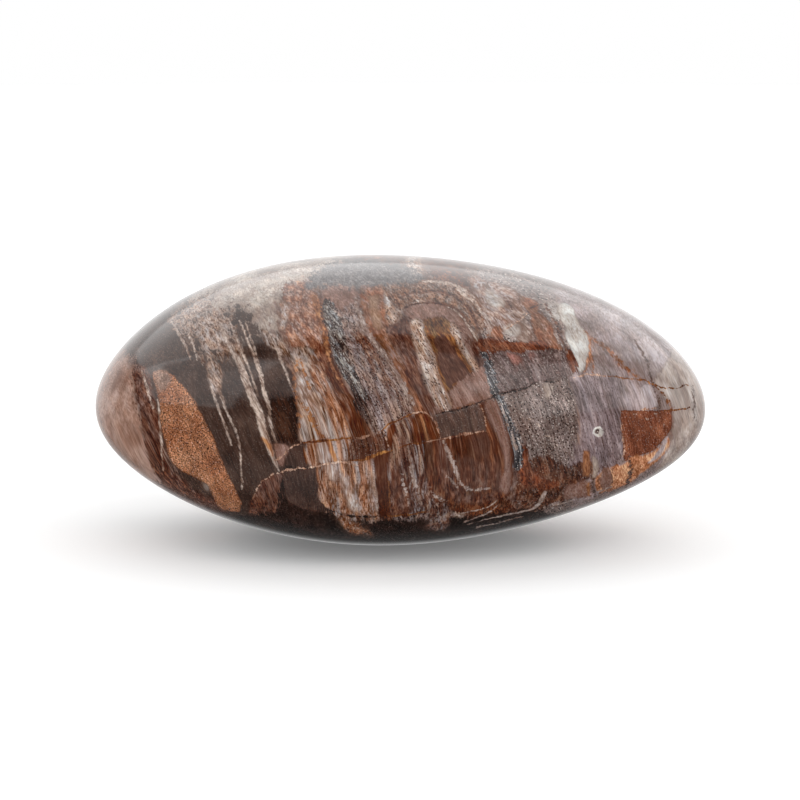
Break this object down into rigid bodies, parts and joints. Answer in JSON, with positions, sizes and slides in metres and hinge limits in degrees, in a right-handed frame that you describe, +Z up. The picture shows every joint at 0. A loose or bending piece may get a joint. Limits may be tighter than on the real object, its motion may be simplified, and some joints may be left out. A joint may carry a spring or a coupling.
{
  "type": "polished petrified wood pebble",
  "caption": "Palm-sized polished petrified wood pebble, a long smooth oval stone that rests on a small flat spot.",
  "frame": {"origin": "middle of the stone's box in X and Y, at the level of the flat spot it rests on", "axes": "+Z up, X along the stone's longest way with its leaner end to +X, the best face towards -Y"},
  "size_m": [0.09, 0.0628, 0.0416],
  "materials": {
    "petrified_wood": "polished"
  },
  "bodies": {
    "root": {"pebble": "petrified_wood"}
  },
  "joints": []
}
